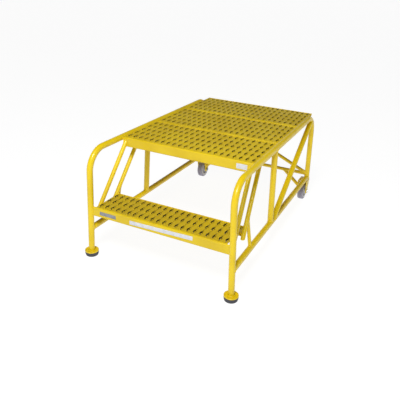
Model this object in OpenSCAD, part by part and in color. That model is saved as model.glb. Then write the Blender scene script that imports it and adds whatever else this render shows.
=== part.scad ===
// Rolling work platform with one step: welded tube frame, serrated plank decking,
// two rubber feet in front and two rigid wheels behind.
// Millimetres. +X right, +Y to the rear, +Z up. The origin lies on the floor under
// the middle of the whole. Places are worked out from the axis of the front legs.

/* [Frame tubes] */
// distance between the axes of the left and right legs, at the height of the step
leg_spacing = 676; // [560:1:800]
// angle by which each side frame leans in towards its top
lean = 2.35; // [0:0.05:4]
// outside diameter of the frame tube
tube_d = 27; // [24:0.5:30]
// wall of the frame tube
tube_wall = 1.65; // [1.2:0.05:2.5]
// radius of the bends, at the tube's axis
bend_r = 92; // [75:1:110]
// platform's top down to the top rail's axis
rail_drop = 6; // [3:0.5:12]
// rear leg's axis to the platform's rear edge, which stands behind it
platform_over = 18.1; // [0:0.1:30]
// front leg's axis to the mid post's axis
mid_post_y = 460; // [420:1:520]
// mid post's axis to the foot of the side brace, on the lower rail's axis
side_brace_set = 38; // [32:1:120]
// angle above level at which the side brace meets the rear bend
side_brace_angle = 50; // [35:1:65]

/* [Small tubes] */
// outside diameter of hangers, cross tube, rear diagonal and fork braces
small_d = 19; // [15:0.5:22]
// wall of the small tubes
small_wall = 1.5; // [1:0.05:2]
// lower rail's axis up to the rear cross tube's axis
cross_rise = 21; // [14:1:40]
// top rail's axis down to where the rear diagonal meets the left bend
diagonal_drop = 36; // [28:1:70]
// step's front edge to the front hanger's axis, at the step's top
hanger_in = 61.5; // [60:0.5:90]
// leg's axis to the hanger's axis at the step's top, which lies inside it
hanger_side = 16; // [14:0.5:24]
// spacing of the two hangers on one side
hanger_pitch = 116; // [100:1:125]
// platform's front edge to the front hanger's axis, which lies before it at the underside
hanger_fore = 10.5; // [8:0.5:14]
// end of the plank to the hanger's axis, where it meets the platform
hanger_inset = 9; // [8:0.5:20]
// diameter of the hanger strut
strut_d = 15; // [12:0.5:18]
// height of the strut's top above the step
strut_rise = 30; // [24:1:50]
// front leg's axis to the strut's foot on the lower rail
strut_y = 196; // [190:1:215]

/* [Platform and step] */
// height of the platform
platform_z = 508; // [500:1:515]
// front leg's axis to the platform's front edge
platform_y = 225; // [205:1:245]
// depth of one platform plank, front to rear
plank_depth = 298.5; // [280:0.5:300]
// gap between two planks
plank_gap = 6.3; // [3:0.1:9]
// height of the step
step_z = 250; // [240:1:270]
// front leg's axis to the step's front edge, which stands forward of it
step_reach = 3.5; // [0:0.5:12]
// depth of the step
step_depth = 178; // [172:0.5:184]

/* [Plank section] */
// height of the plank's side channels
channel_h = 44.5; // [38:0.5:52]
// thickness of the plank's sheet
sheet_t = 2; // [1.5:0.1:2.5]
// outside radius of the channel's edges
edge_r = 5.5; // [4:0.5:7]
// width of the channel's bottom flange
flange_w = 15; // [12:0.5:20]
// least spacing of the rows of diamonds, front to rear
row_least = 54; // [50:0.5:60]
// spacing of the diamonds along the plank
diamond_pitch = 28.6; // [26:0.1:34]
// length of a diamond opening, front to rear
diamond_l = 38; // [34:0.5:39]
// width of a diamond opening, along the plank
diamond_w = 11; // [9:0.5:13]
// height of the serrated collar above the sheet
collar_h = 4; // [3.5:0.5:8]
// depth of the collar's skirt below the sheet
skirt_h = 9; // [6:0.5:14]
// height of the teeth on the collar
tooth_h = 3; // [2:0.1:3.5]
// height of the teeth above the channel's top
tooth_rise = 2.5; // [1:0.1:3]

/* [Feet] */
// diameter of the foot plate
foot_d = 62; // [54:1:72]
// thickness of the foot plate
foot_plate_t = 3; // [2:0.1:5]
// height of the foot plate's raised rim
foot_rim_h = 2.5; // [1:0.1:4]
// width of the foot plate's raised rim
foot_rim_w = 3; // [2:0.1:5]
// height of the rubber foot
rubber_h = 20; // [14:0.5:28]
// diameter of the rubber foot's sole
sole_d = 50; // [40:1:52]

/* [Wheels] */
// diameter of the wheel
wheel_d = 101.6; // [90:0.1:104]
// width of the tyre
wheel_w = 32; // [26:1:38]
// rear leg's axis, at the fork, to the wheel's middle plane, which lies inside it
wheel_inset = 16; // [10:0.5:24]
// thickness of the tyre
tyre_t = 11; // [8:0.5:14]
// width of the rim's lips beside the groove that holds the tyre
seat_lip = 5; // [3:0.5:8]
// depth of the rim's groove
seat_h = 3; // [2:0.1:4]
// rounding of the tyre's shoulders
tyre_r = 6; // [4:0.5:8]
// outside diameter of the hub's boss
boss_d = 34; // [28:1:38]
// thickness of the hub's web
hub_web = 7; // [5:0.5:10]
// thickness of the hub's rim
rim_t = 5; // [4:0.5:7]
// ribs on each side of the hub
hub_ribs = 6; // [4:1:8]
// thickness of a hub rib
rib_t = 3; // [2:0.1:4]
// diameter of the axle bolt
axle_d = 9.5; // [8:0.1:10]
// wall of the sleeve round the axle bolt
sleeve_wall = 1.8; // [1.5:0.1:2.5]
// wall of the wheel's bush
bush_wall = 2.2; // [1.5:0.1:3]
// side of the tyre to the fork's leg
tyre_clear = 6; // [4:0.5:9]
// top of the tyre to the underside of the fork
fork_clear = 18.2; // [10:0.1:26]
// thickness of the fork's plate
fork_t = 4.5; // [3:0.1:6]
// width of the fork at its top, front to rear
fork_w = 64; // [50:1:76]
// radius of the fork's ends round the axle
fork_end_r = 15; // [12:0.5:18]
// inside radius of the fork's corners
fork_corner_r = 4; // [2:0.5:6]
// axle up to where the fork brace meets the fork
fork_brace_rise = 25.2; // [23:0.1:34]
// fork's inner face to where the fork brace meets the cross tube's axis
fork_brace_reach = 98; // [80:1:120]
// width across flats of bolt head and nut
hex_af = 14.3; // [13:0.1:16]
// thickness of the bolt's head
head_t = 6; // [5:0.1:8]
// thickness of the nut
nut_t = 8; // [6:0.1:10]
// length of bolt past the nut
bolt_tail = 3; // [1:0.1:6]

/* [Fits] */
// gap at a welded joint
weld_gap = 0.2; // [0.1:0.05:0.3]
// radial running clearance of the bush on the sleeve
run_gap = 0.05; // [0.02:0.01:0.1]
// radial clearance of the bolt in its holes
bolt_gap = 0.25; // [0.1:0.05:0.5]
// gap between seated faces
seat_gap = 0.1; // [0.05:0.05:0.2]
// play of the hub between the fork's legs, on each side
side_play = 1; // [0.5:0.1:1.5]

/* [Hidden] */
$fn = 64;
over = 1;
paint = [0.93, 0.78, 0.12];
black = [0.12, 0.12, 0.13];
grey = [0.55, 0.55, 0.58];
pale = [0.8, 0.8, 0.8];
zinc = [0.7, 0.72, 0.74];

// wheels
axle_z = wheel_d / 2;
fork_gap = wheel_w + 2 * tyre_clear;
fork_top_z = wheel_d + fork_clear + fork_t;
fork_half = fork_gap / 2 + fork_t;
fork_brace_z = axle_z + fork_brace_rise;
sleeve_d = axle_d + 2 * bolt_gap + 2 * sleeve_wall;
bush_d = sleeve_d + 2 * run_gap + 2 * bush_wall;
hub_w = fork_gap - 2 * side_play;
rim_d = wheel_d - 2 * tyre_t;
seat_w = wheel_w - 2 * seat_lip;

// frame
planks = 3;
side_x = leg_spacing / 2;
// axis of a leaning leg at a height, and the place of a point of the side frame
function side_at(z) = side_x - (z - step_z) * tan(lean);
function on_side(y, z) = [side_x - (z - step_z) * sin(lean), y, step_z + (z - step_z) * cos(lean)];
wheel_x = side_at(fork_top_z) - wheel_inset;
fork_in_x = wheel_x - fork_half;
rail_z = platform_z - rail_drop;
rear_foot_z = fork_top_z + weld_gap;
lower_rail_z = rear_foot_z + tube_d / 2;
cross_z = lower_rail_z + cross_rise;
platform_end_y = platform_y + planks * plank_depth + (planks - 1) * plank_gap;
rear_leg_y = platform_end_y - platform_over;
side_brace_y = mid_post_y + side_brace_set;
leg_foot_z = rubber_h + foot_plate_t + 2 * seat_gap;
bend_z = rail_z - bend_r;
rear_bend_y = rear_leg_y - bend_r;
diagonal_top_z = rail_z - diagonal_drop;
// where the whole is centred
mid_y = (rear_leg_y + wheel_d / 2 - foot_d / 2) / 2;

// decking
plank_half = on_side(0, rail_z).x - tube_d / 2 - weld_gap;
plank_bottom_z = platform_z - channel_h;
tread_top = tooth_rise;
sheet_top = tread_top - collar_h;
sheet_low = sheet_top - sheet_t;
skirt_low = sheet_low - skirt_h;
half_w = diamond_w / 2;
half_l = diamond_l / 2;
side_off = half_w * half_l / norm([half_w, half_l]);
collar_share = 1 + sheet_t / side_off;

// hangers
hanger_y = hanger_in - step_reach;
hang_low = [side_x - hanger_side, hanger_y, step_z];
hang_high = [plank_half - hanger_inset, platform_y - hanger_fore, plank_bottom_z];
hang_run = hang_high - hang_low;
rear_hang = [0, hanger_pitch, 0];
// how far a hanger's rod runs past each end before it is cut to length
past_share = 0.5;
// turn of a hanger about its own axis, so that its tube's seam lies off the tips of its cut ends
hanger_turn = 50;
// the step's tread and rear channel end against the hangers
step_half = hang_low.x - small_d / 2 - 3 * weld_gap;

// places each node in the frame of the whole
module home() translate([0, -mid_y, 0]) children();
module right() home() children();
module left() home() mirror([1, 0, 0]) children();

// leans what is drawn upright in the plane of a side frame
module leaning() translate([side_x, 0, step_z]) rotate([0, -lean, 0])
  translate([-side_x, 0, -step_z]) children();

// solid rod from one point to another
module rod(from, to, d, turn = 0) {
  run = to - from;
  far = norm(run);
  translate(from)
    rotate([0, acos(run.z / far), atan2(run.y, run.x)]) rotate(turn)
      cylinder(h = far, d = d);
}

// hollow tube from one point to another
module pipe(from, to, d, wall, turn = 0) {
  way = (to - from) / norm(to - from);
  difference() {
    rod(from, to, d, turn);
    rod(from - way * over, to + way * over, d - 2 * wall, turn);
  }
}

// one bent tube of the side frame, as a solid rod that runs past its ends by extra
module frame_path(d, extra) {
  translate([side_x, 0, leg_foot_z - extra])
    cylinder(h = bend_z - leg_foot_z + extra, d = d);
  translate([side_x, bend_r, bend_z])
    rotate([90, 0, 90]) rotate([0, 0, 90])
      rotate_extrude(angle = 90) translate([bend_r, 0]) circle(d = d);
  translate([side_x, bend_r, rail_z])
    rotate([-90, 0, 0]) cylinder(h = rear_bend_y - bend_r, d = d);
  translate([side_x, rear_bend_y, bend_z])
    rotate([90, 0, 90])
      rotate_extrude(angle = 90) translate([bend_r, 0]) circle(d = d);
  translate([side_x, rear_leg_y, rear_foot_z - extra])
    cylinder(h = bend_z - rear_foot_z + extra, d = d);
}

// the legs' ends are cut level, to stand on the foot plates and the forks
module end_cut(y, z) translate([-leg_spacing, y - bend_r, z - platform_z])
  cube([2 * leg_spacing, 2 * bend_r, platform_z]);
module frame_tube() color(paint) difference() {
  leaning() frame_path(tube_d, tube_d);
  leaning() frame_path(tube_d - 2 * tube_wall, 2 * tube_d);
  end_cut(0, leg_foot_z);
  end_cut(rear_leg_y, rear_foot_z);
}

// what other pieces are coped to
module frame_cope() frame_path(tube_d + 2 * weld_gap, tube_d);
module both_sides() {
  leaning() children();
  mirror([1, 0, 0]) leaning() children();
}
module leg_cope() rod([side_x, 0, leg_foot_z], [side_x, 0, bend_z], tube_d + 2 * weld_gap);
rail_from = [side_x, 0, lower_rail_z];
rail_to = [side_x, rear_leg_y, lower_rail_z];
module lower_rail_cope() rod(rail_from, rail_to, tube_d + 2 * weld_gap);
cross_from = [-side_at(cross_z), rear_leg_y, cross_z];
cross_to = [side_at(cross_z), rear_leg_y, cross_z];

module lower_rail() color(paint) leaning() difference() {
  pipe(rail_from, rail_to, tube_d, tube_wall);
  frame_cope();
}

module mid_post() color(paint) leaning() difference() {
  pipe([side_x, mid_post_y, lower_rail_z], [side_x, mid_post_y, rail_z], tube_d, tube_wall);
  frame_cope();
  lower_rail_cope();
}

module side_brace() color(paint) leaning() difference() {
  pipe([side_x, side_brace_y, lower_rail_z],
    [side_x, rear_bend_y + bend_r * cos(side_brace_angle),
      bend_z + bend_r * sin(side_brace_angle)], tube_d, tube_wall);
  frame_cope();
  lower_rail_cope();
}

module cross_tube() color(paint) difference() {
  pipe(cross_from, cross_to, small_d, small_wall);
  both_sides() frame_cope();
}

// the rear diagonal runs from the right joint of the cross tube to the left rear bend
diagonal_top_y = rear_bend_y + sqrt(bend_r * bend_r - pow(max(0, diagonal_top_z - bend_z), 2));
diagonal_end = on_side(diagonal_top_y, diagonal_top_z);
module diagonal_brace() color(paint) difference() {
  pipe(cross_to, [-diagonal_end.x, diagonal_end.y, diagonal_end.z], small_d, small_wall);
  both_sides() frame_cope();
  rod(cross_from, cross_to, small_d + 2 * weld_gap);
}

// everything above a level, below it or behind a plane, as a block to cut with
module slab_above(z) translate([-leg_spacing, -rear_leg_y, z])
  cube([2 * leg_spacing, 3 * rear_leg_y, platform_z]);
module slab_below(z) translate([-leg_spacing, -rear_leg_y, z - platform_z])
  cube([2 * leg_spacing, 3 * rear_leg_y, platform_z]);

module slab_behind(y) translate([-leg_spacing, y, -platform_z])
  cube([2 * leg_spacing, 2 * rear_leg_y, 3 * platform_z]);

// the front hanger ends on the platform's front channel, the rear one under the tread
function on_hanger(share) = hang_low + hang_run * share;
module hanger(shift) color(paint) difference() {
  pipe(on_hanger(-past_share) + shift, on_hanger(1 + past_share) + shift,
    small_d, small_wall, hanger_turn);
  slab_below(step_z - channel_h);
  children();
}
module front_hanger() hanger([0, 0, 0]) slab_behind(platform_y - weld_gap);
module rear_hanger() hanger(rear_hang) slab_above(platform_z + skirt_low - weld_gap);

module hanger_strut() color(paint) difference() {
  rod(on_side(strut_y, lower_rail_z),
    on_hanger(strut_rise / hang_run.z) + rear_hang, strut_d);
  rod(on_hanger(-past_share) + rear_hang, on_hanger(1 + past_share) + rear_hang,
    small_d + 2 * weld_gap);
  leaning() lower_rail_cope();
}

// decking: one plank is drawn with its front edge at y = 0 and its top at z = 0
module along_plank(half) translate([-half, 0, 0]) rotate([90, 0, 90])
  linear_extrude(2 * half) children();

module quarter(r, t) intersection() {
  difference() {
    circle(r = r);
    circle(r = r - t);
  }
  square(r + over);
}

// folded side channel, seen from its end: rounded edge above, flange below
module channel_outline() {
  translate([edge_r, -edge_r]) mirror([1, 0]) quarter(edge_r, sheet_t);
  translate([0, edge_r - channel_h]) square([sheet_t, channel_h - 2 * edge_r]);
  translate([edge_r, edge_r - channel_h]) rotate(180) quarter(edge_r, sheet_t);
  translate([edge_r, -channel_h]) square([flange_w - edge_r, sheet_t]);
}

module channels(depth, front_half, rear_half) color(paint) {
  along_plank(front_half) channel_outline();
  translate([0, depth, 0]) mirror([0, 1, 0]) along_plank(rear_half) channel_outline();
}
module plank_channels() channels(plank_depth, plank_half, plank_half);

module diamond(share) polygon([[half_w * share, 0], [0, half_l * share],
  [-half_w * share, 0], [0, -half_l * share]]);

// what is cut from a collar to leave two teeth on each of its four sides
side_teeth = 4;
tooth_step = half_l * collar_share / side_teeth;
tooth_end = half_l * collar_share + tooth_step;
module tooth_gaps() translate([-diamond_w, 0, collar_h]) rotate([90, 0, 90])
  linear_extrude(2 * diamond_w)
    polygon(concat(
      [for (k = [-side_teeth:side_teeth]) [k * tooth_step, k % 2 == 0 ? -tooth_h : 0]],
      [[tooth_end, 0], [tooth_end, over], [-tooth_end, over], [-tooth_end, 0]]));

module collar() difference() {
  translate([0, 0, skirt_low - sheet_top]) linear_extrude(tread_top - skirt_low) difference() {
    diamond(collar_share);
    diamond(1);
  }
  tooth_gaps();
}

module tread(depth, half) {
  wide = depth - 2 * edge_r - 2 * weld_gap;
  rows = floor((wide - 2 * sheet_t) / row_least);
  row = (wide - 2 * sheet_t) / rows;
  columns = 1 + floor(2 * (half - half_w * collar_share - sheet_t) / diamond_pitch);
  places = [for (i = [0:columns - 1], j = [0:rows - 1])
    [(i - (columns - 1) / 2) * diamond_pitch, (j - (rows - 1) / 2) * row]];
  color(paint) translate([0, depth / 2, 0]) {
    translate([0, 0, sheet_low]) linear_extrude(sheet_t) difference() {
      translate([-half, -wide / 2]) square([2 * half, wide]);
      for (p = places) translate(p) diamond((1 + collar_share) / 2);
    }
    for (p = places) translate([p.x, p.y, sheet_top]) collar();
    for (side = [0, 1]) mirror([0, side, 0])
      translate([-half, -wide / 2, sheet_top])
        cube([2 * half, sheet_t, -sheet_top]);
  }
}

module plank_place(k) translate([0, platform_y + k * (plank_depth + plank_gap), platform_z])
  children();
module step_place() translate([0, -step_reach, step_z]) children();
// the step's front channel reaches the legs and is coped to them
module step_channels() difference() {
  step_place() channels(step_depth, side_x, step_half);
  both_sides() leg_cope();
}

// feet
module at_foot() translate([side_at(leg_foot_z), 0, 0]) children();
module foot_plate() color(paint) at_foot() translate([0, 0, rubber_h + seat_gap])
  rotate_extrude() {
    square([foot_d / 2, foot_plate_t]);
    translate([foot_d / 2 - foot_rim_w, 0]) square([foot_rim_w, foot_plate_t + foot_rim_h]);
  }
module rubber_foot() color(black) at_foot() rotate_extrude()
  polygon([[0, 0], [sole_d / 2, 0], [foot_d / 2 - seat_gap, rubber_h - foot_rim_w],
    [foot_d / 2 - seat_gap, rubber_h], [0, rubber_h]]);

// wheels: drawn round the axle, with the axle along z
module at_axle() translate([wheel_x, rear_leg_y, axle_z]) rotate([0, 90, 0]) children();

module round_rect(w, h, r) {
  translate([-w / 2, r]) square([w, h - 2 * r]);
  translate([r - w / 2, 0]) square([w - 2 * r, h]);
  for (x = [r - w / 2, w / 2 - r], y = [r, h - r]) translate([x, y]) circle(r = r);
}

// the fork's leg seen from the side: a taper that runs into the round end
leg_top = fork_top_z - axle_z;
leg_slant = norm([fork_w / 2, leg_top]);
leg_turn = atan2(leg_top, fork_w / 2) - acos(fork_end_r / leg_slant);
module fork_leg_outline() {
  circle(r = fork_end_r);
  polygon([[fork_w / 2, leg_top], [-fork_w / 2, leg_top],
    [-fork_end_r * cos(leg_turn), fork_end_r * sin(leg_turn)],
    [fork_end_r * cos(leg_turn), fork_end_r * sin(leg_turn)]]);
}
// the fork seen from the front: one strip bent twice
module fork_bend_outline() difference() {
  translate([0, leg_top]) mirror([0, 1])
    round_rect(2 * fork_half, 2 * leg_top + fork_end_r, fork_corner_r + fork_t);
  translate([0, leg_top - fork_t]) mirror([0, 1])
    round_rect(fork_gap, 2 * leg_top + fork_end_r, fork_corner_r);
}
module wheel_fork() color(paint) translate([wheel_x, rear_leg_y, axle_z]) difference() {
  intersection() {
    translate([-fork_half - over, 0, 0]) rotate([90, 0, 90])
      linear_extrude(2 * fork_half + 2 * over) fork_leg_outline();
    translate([0, fork_w, 0]) rotate([90, 0, 0])
      linear_extrude(2 * fork_w) fork_bend_outline();
  }
  rotate([0, 90, 0]) translate([0, 0, -fork_half - over])
    cylinder(h = 2 * fork_half + 2 * over, d = axle_d + 2 * bolt_gap);
}

// the fork brace slopes from the cross tube down to the fork's inner leg
brace_from = [fork_in_x - fork_brace_reach, rear_leg_y, cross_z];
brace_run = [fork_brace_reach, 0, fork_brace_z - cross_z];
module fork_brace() color(paint) difference() {
  pipe(brace_from, brace_from + brace_run * (1 + small_d / fork_brace_reach), small_d, small_wall);
  rod(cross_from, cross_to, small_d + 2 * weld_gap);
  translate([fork_in_x - weld_gap, rear_leg_y - small_d, 0]) cube([2 * small_d, 2 * small_d, cross_z]);
}

module hexagon(t) cylinder(h = t, d = hex_af / cos(30), $fn = 6);
head_face = fork_half + seat_gap;
module axle_bolt() color(zinc) at_axle() {
  translate([0, 0, head_face]) hexagon(head_t);
  translate([0, 0, -head_face - nut_t - bolt_tail])
    cylinder(h = 2 * head_face + nut_t + bolt_tail, d = axle_d);
}
module axle_nut() color(zinc) at_axle() translate([0, 0, -head_face - nut_t]) difference() {
  hexagon(nut_t);
  translate([0, 0, -over]) cylinder(h = nut_t + 2 * over, d = axle_d + 2 * seat_gap);
}
module ring(h, outer, inner) difference() {
  cylinder(h = h, d = outer, center = true);
  cylinder(h = h + 2 * over, d = inner, center = true);
}
module axle_sleeve() color(zinc) at_axle()
  ring(fork_gap - 2 * seat_gap, sleeve_d, axle_d + 2 * bolt_gap);
module wheel_bush() color(zinc) at_axle()
  ring(hub_w, bush_d, sleeve_d + 2 * run_gap);

rim_in = rim_d / 2 - rim_t - seat_h;
module wheel_hub() color(pale) at_axle() difference() {
  union() {
    cylinder(h = hub_w, d = boss_d, center = true);
    cylinder(h = hub_web, r = rim_in + over, center = true);
    ring(wheel_w, rim_d, 2 * rim_in);
    for (k = [0:hub_ribs - 1]) rotate([0, 0, k * 360 / hub_ribs])
      translate([0, -rib_t / 2, -seat_w / 2]) cube([rim_in + over, rib_t, seat_w]);
  }
  ring(seat_w + 2 * seat_gap, rim_d + 2 * over, rim_d - 2 * seat_h);
  cylinder(h = hub_w + 2 * over, d = bush_d + 2 * seat_gap, center = true);
}

// the tyre's section, with a tongue that fills the rim's groove
module tyre() color(grey) at_axle() rotate_extrude() {
  translate([rim_d / 2 + seat_gap, 0]) tyre_outline(tyre_t - seat_gap);
  translate([rim_d / 2 - seat_h + seat_gap, -seat_w / 2]) square([seat_h + over, seat_w]);
}
module tyre_outline(t) intersection() {
  translate([0, -wheel_w / 2]) square([t, wheel_w]);
  union() {
    translate([0, -wheel_w / 2]) square([t - tyre_r, wheel_w]);
    translate([0, tyre_r - wheel_w / 2]) square([t, wheel_w - 2 * tyre_r]);
    for (side = [-1, 1]) translate([t - tyre_r, side * (wheel_w / 2 - tyre_r)]) circle(r = tyre_r);
  }
}

left() frame_tube();  // left_frame_tube
right() frame_tube();  // right_frame_tube
left() lower_rail();  // left_lower_rail
right() lower_rail();  // right_lower_rail
left() mid_post();  // left_mid_post
right() mid_post();  // right_mid_post
right() side_brace();  // right_side_brace
home() cross_tube();  // rear_cross_tube
home() diagonal_brace();  // rear_diagonal_brace
left() front_hanger();  // left_front_hanger
right() front_hanger();  // right_front_hanger
left() rear_hanger();  // left_rear_hanger
right() rear_hanger();  // right_rear_hanger
left() hanger_strut();  // left_hanger_strut
right() hanger_strut();  // right_hanger_strut
home() plank_place(0) tread(plank_depth, plank_half);  // front_plank_tread
home() plank_place(0) plank_channels();  // front_plank_channels
home() plank_place(1) tread(plank_depth, plank_half);  // middle_plank_tread
home() plank_place(1) plank_channels();  // middle_plank_channels
home() plank_place(2) tread(plank_depth, plank_half);  // rear_plank_tread
home() plank_place(2) plank_channels();  // rear_plank_channels
home() step_place() tread(step_depth, step_half);  // step_tread
home() step_channels();
left() foot_plate();  // left_foot_plate
right() foot_plate();  // right_foot_plate
left() rubber_foot();  // left_rubber_foot
right() rubber_foot();  // right_rubber_foot
left() wheel_fork();  // left_wheel_fork
right() wheel_fork();  // right_wheel_fork
left() fork_brace();  // left_fork_brace
right() fork_brace();  // right_fork_brace
left() axle_bolt();  // left_axle_bolt
right() axle_bolt();  // right_axle_bolt
left() axle_nut();  // left_axle_nut
right() axle_nut();  // right_axle_nut
left() axle_sleeve();  // left_axle_sleeve
right() axle_sleeve();  // right_axle_sleeve
left() wheel_bush();  // left_wheel_bush
right() wheel_bush();  // right_wheel_bush
left() wheel_hub();  // left_wheel_hub
right() wheel_hub();  // right_wheel_hub
left() tyre();  // left_tyre
right() tyre();  // right_tyre
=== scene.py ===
"""Looks of a rolling work platform with one step: paint, welds, feet, wheels and a studio."""

import math

import bpy
from bpy.props import FloatProperty, FloatVectorProperty, PointerProperty
from bpy.types import Operator, Panel, PropertyGroup
from mathutils import Matrix, Vector


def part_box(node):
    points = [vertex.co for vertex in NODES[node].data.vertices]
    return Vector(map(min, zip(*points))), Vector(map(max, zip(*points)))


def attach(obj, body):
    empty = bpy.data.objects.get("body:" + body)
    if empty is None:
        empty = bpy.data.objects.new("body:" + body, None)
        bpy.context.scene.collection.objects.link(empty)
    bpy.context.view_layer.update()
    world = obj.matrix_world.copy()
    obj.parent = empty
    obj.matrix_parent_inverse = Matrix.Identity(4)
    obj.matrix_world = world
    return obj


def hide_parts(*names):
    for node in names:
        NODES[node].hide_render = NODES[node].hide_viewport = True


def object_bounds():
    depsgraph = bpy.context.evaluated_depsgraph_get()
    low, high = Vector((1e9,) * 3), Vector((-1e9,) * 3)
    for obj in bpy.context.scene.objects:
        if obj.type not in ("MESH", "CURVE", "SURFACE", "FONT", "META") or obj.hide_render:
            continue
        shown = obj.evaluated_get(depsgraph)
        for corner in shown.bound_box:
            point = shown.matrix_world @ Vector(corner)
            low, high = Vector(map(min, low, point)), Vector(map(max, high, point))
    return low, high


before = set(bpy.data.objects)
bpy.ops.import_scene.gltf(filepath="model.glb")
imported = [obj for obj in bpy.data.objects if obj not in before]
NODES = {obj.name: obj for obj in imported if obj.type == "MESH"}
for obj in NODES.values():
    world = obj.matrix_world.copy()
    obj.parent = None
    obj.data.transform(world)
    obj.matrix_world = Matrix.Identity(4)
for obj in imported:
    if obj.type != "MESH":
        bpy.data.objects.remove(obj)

bl_info = {
    "name": "Rolling Work Platform",
    "version": (1, 0, 0),
    "blender": (4, 5, 0),
    "location": "3D View > Sidebar > Platform",
    "description": "Dresses a rolling work platform with paint, welds, feet and a studio",
    "category": "Object",
}

CAD_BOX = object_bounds()
SIDES = {"left": -1, "right": 1}
UP = Vector((0, 0, 1))
BACK = Vector((0, 1, 0))
ACROSS = Vector((1, 0, 0))


def middle(node):
    """The middle of a CAD node's box."""
    low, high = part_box(node)
    return (low + high) / 2


def size(node):
    """The three lengths of a CAD node's box."""
    low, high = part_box(node)
    return high - low


# Places that the welds follow, read from the frame
FRAME_LOW, FRAME_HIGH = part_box("right_frame_tube")
TUBE_R = size("right_lower_rail").z / 2
SMALL_R = size("rear_cross_tube").z / 2
LOW_RAIL = middle("right_lower_rail")
RAIL_X = FRAME_LOW.x + TUBE_R
RAIL_Z = FRAME_HIGH.z - TUBE_R
LEG_Y = FRAME_LOW.y + TUBE_R
REAR_Y = FRAME_HIGH.y - TUBE_R
POST_Y = middle("right_mid_post").y
CROSS_Z = middle("rear_cross_tube").z
FORK_LOW, FORK_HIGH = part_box("right_wheel_fork")
STEP_LOW, STEP_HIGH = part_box("step_channels")
DECK_LOW, DECK_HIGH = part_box("front_plank_channels")

# How far a side frame leans in for each metre up, and the ways that follow it
LEAN = (LOW_RAIL.x - RAIL_X) / (RAIL_Z - LOW_RAIL.z)
LEG_UP = Vector((-LEAN, 0, 1)).normalized()


def on_side(y, z):
    """The point at this depth and height in the middle plane of the right side frame."""
    return Vector((LOW_RAIL.x - LEAN * (z - LOW_RAIL.z), y, z))


# Axes of the slanted tubes of the right side, from their lower ends to their upper ones
HANGER = (Vector((0.3220, -0.5094, 0.2500)), Vector((0.3050, -0.3529, 0.4635)))
HANGER_PITCH = 0.116
STRUT = (Vector((0.3426, -0.3714, 0.1380)), Vector((0.3196, -0.3714, 0.2800)))
STRUT_R = 0.0075
SIDE_BRACE = (on_side(-0.0694, 0.1380), on_side(0.5147, 0.4805))
BEND = on_side(0.4556, 0.4100)
FORK_BRACE = (Vector((0.20266, 0.5476, 0.1590)), Vector((0.30066, 0.5476, 0.0760)))
DIAGONAL = (Vector((0.3417, 0.5476, 0.1590)), Vector((-0.3291, 0.5286, 0.4660)))

# Sizes that the boxes don't give
MM = 0.001
FIT = 0.0001
COLLAR_H = 0.004
DIAMOND_PITCH = 0.0286
DIAMOND_HALF_W = 0.0055
DIAMOND_HALF_L = 0.019
TOOTH_ROUND = 0.0005
FORK_CORNER = 0.0085
FOOT_PLATE_T = 0.003
TYRE_SHOULDER = 0.006
GROOVE_HALF_W = 0.0011
GROOVE_DEPTH = 0.0013
HUB_EDGE = 0.0007
FORK_EDGE = 0.0008
BOLT_R = 0.00475
BORE_LEAD = 0.0006
THREAD_PITCH = 0.0015
THREAD_TURNS = 10
PLATE_T = 0.0006
PLATE_CORNER = 0.0022
FLOOR_WIDTH = 120

# The name of each tread's softened copy, the pitch of its rows and its share of painted shade on
# the sheet; the step's share is larger, painting the whole step darker as if it stood in shade
TREADS = {
    "front_plank_tread": ("front_serrated_tread", 0.05662, 0.06),
    "middle_plank_tread": ("middle_serrated_tread", 0.05662, 0.06),
    "rear_plank_tread": ("rear_serrated_tread", 0.05662, 0.06),
    "step_tread": ("step_serrated_tread", 0.0542, 0.42),
}

# Half sections of a foot, in mm from its axis and its lowest face, and their corners' roundings
DISH = [(0, 0), (31, 0), (31, 5.5), (28.2, 5.5), (27.6, 3), (0, 3)]
DISH_ROUND = [0, 0.5, 1.2, 1.1, 2, 0]
RUBBER = [(0, 19.9), (30.8, 19.9), (30.8, 15.5), (30.0, 14.4), (29.8, 8.0), (27.4, 0), (21, 0)]
RUBBER_ROUND = [0, 0.8, 0.8, 0.8, 4, 2.6, 0]
SOLE_GROOVES = [(20.4, 1.4), (17.6, 1.4), (17, 0), (12, 0), (11.4, 1.4), (8.6, 1.4), (8, 0), (0, 0)]

# Blank plates: the face that each lies on, the middles of its ends as (x, z), height and finish
PLATES = {
    "step_grey_plate": (STEP_LOW.y, (-0.288, 0.2275), (-0.204, 0.2275), 0.017, "grey_plate"),
    "step_white_strip": (STEP_LOW.y, (-0.134, 0.2247), (0.166, 0.2330), 0.018, "white_film"),
    "deck_white_label": (DECK_LOW.y, (0.240, 0.4855), (0.2885, 0.4855), 0.023, "white_film"),
}


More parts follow.
